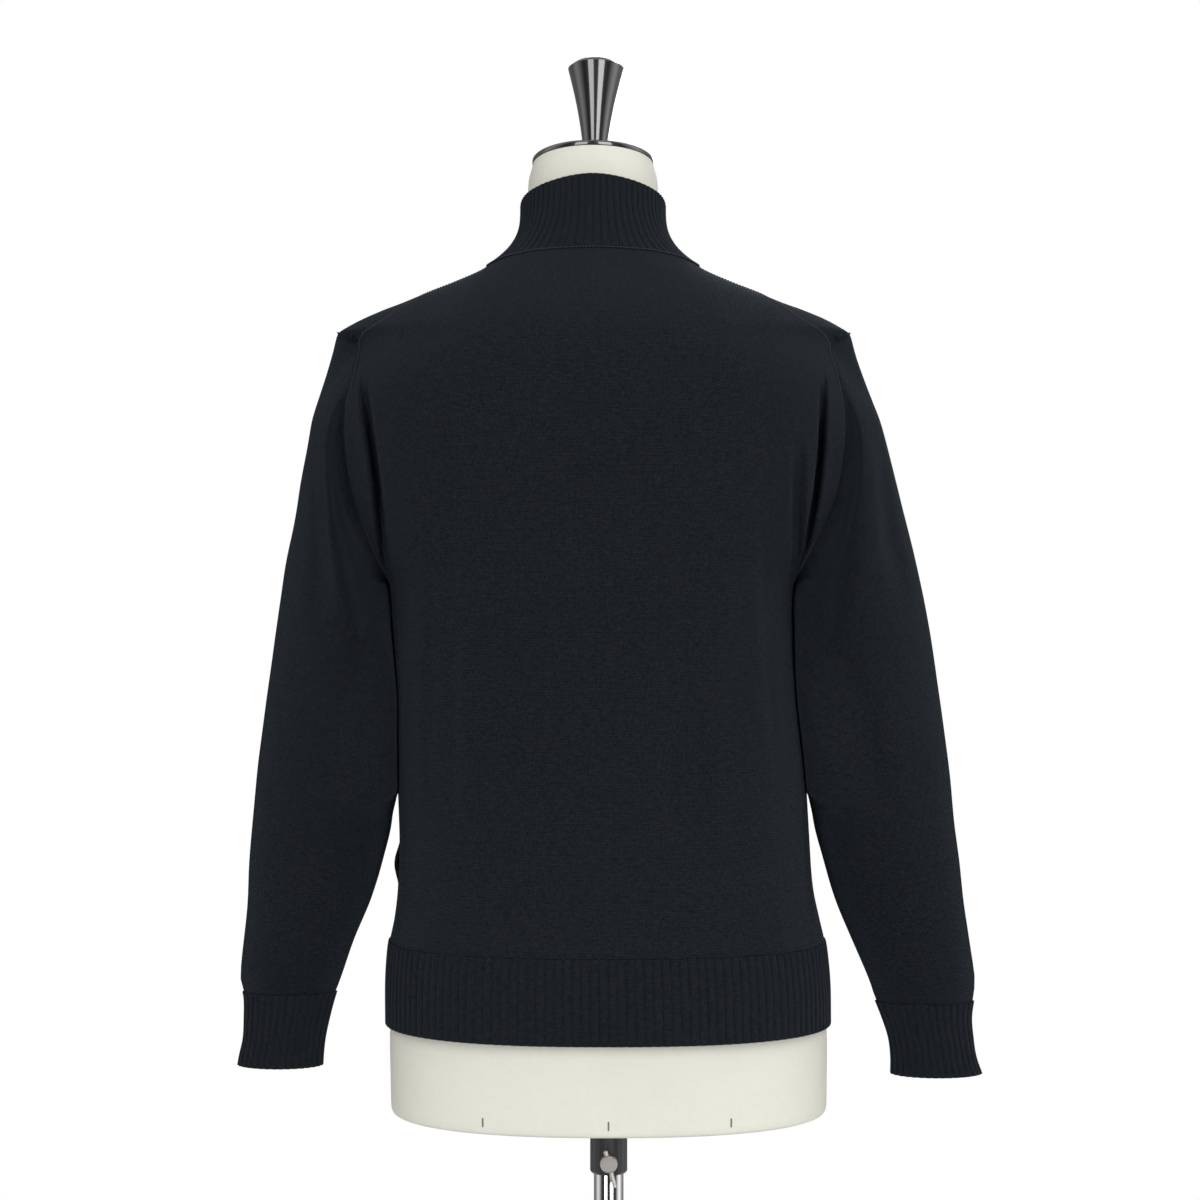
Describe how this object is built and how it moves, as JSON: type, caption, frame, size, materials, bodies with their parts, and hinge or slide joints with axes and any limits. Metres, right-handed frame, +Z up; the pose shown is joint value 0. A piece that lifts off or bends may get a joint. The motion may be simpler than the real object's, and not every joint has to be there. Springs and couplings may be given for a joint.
{
  "type": "cardigan on a dress form",
  "caption": "Knitted zip cardigan with a rib stand collar, cuffs and hem and empty hanging sleeves, worn by a limbless dress form that turns and slides on a pole stand.",
  "frame": {"origin": "middle of the underside of the stand's base", "axes": "+Z up along the pole; the cardigan's front and its zip face -Y; +X is towards the wearer's left sleeve"},
  "size_m": [0.6333, 0.34, 1.2913],
  "materials": {
    "jersey": "fine navy knit, matt",
    "rib": "navy rib knit, matt",
    "zip_tape": "navy woven tape",
    "zip_metal": "dark coated metal",
    "form_linen": "cream cotton cover over moulded foam",
    "black_lacquer": "gloss black lacquer on turned wood",
    "black_enamel": "black enamel",
    "dull_steel": "dull zinc-plated steel",
    "chrome": "bright chrome"
  },
  "bodies": {
    "stand": {"base": "black_enamel", "boss": "black_enamel"},
    "pole": {"pole": "chrome"},
    "torso": {"form": "form_linen", "neck_cap": "black_lacquer", "knob": "black_lacquer", "socket": "black_enamel", "back": "jersey", "front_left": "jersey", "front_right": "jersey", "sleeve_left": "jersey", "sleeve_right": "jersey", "cuff_left": "rib", "cuff_right": "rib", "hem_back": "rib", "hem_front_left": "rib", "hem_front_right": "rib", "collar": "rib", "pocket_left": "jersey", "pocket_right": "jersey", "zip_tape_left": "zip_tape", "zip_tape_right": "zip_tape", "zip_chain": "zip_metal", "zip_box": "zip_metal", "zip_slider": "zip_metal"},
    "clamp_screw": {"clamp_screw": "dull_steel"},
    "clamp_bar": {"clamp_bar": "dull_steel"},
    "zip_tab": {"zip_tab": "zip_metal"}
  },
  "joints": [
    {"name": "pole_turn", "type": "hinge", "parent": "stand", "child": "pole", "pos_m": [0, 0, 0.05], "axis": [0, 0, 1], "continuous": true},
    {"name": "form_height", "type": "slide", "parent": "pole", "child": "torso", "axis": [0, 0, 1], "range_m": [-0.25, 0.25]},
    {"name": "clamp_turn", "type": "hinge", "parent": "torso", "child": "clamp_screw", "pos_m": [0, 0.025, 0.3545], "axis": [0, 1, 0], "range_deg": [0, 360]},
    {"name": "bar_slide", "type": "slide", "parent": "clamp_screw", "child": "clamp_bar", "axis": [0.2588, 0, 0.9659], "range_m": [-0.0036, 0.0128]},
    {"name": "tab_swing", "type": "hinge", "parent": "torso", "child": "zip_tab", "pos_m": [0.0133, -0.0719, 1.09599], "axis": [-1, 0, 0], "range_deg": [0, 140]}
  ]
}
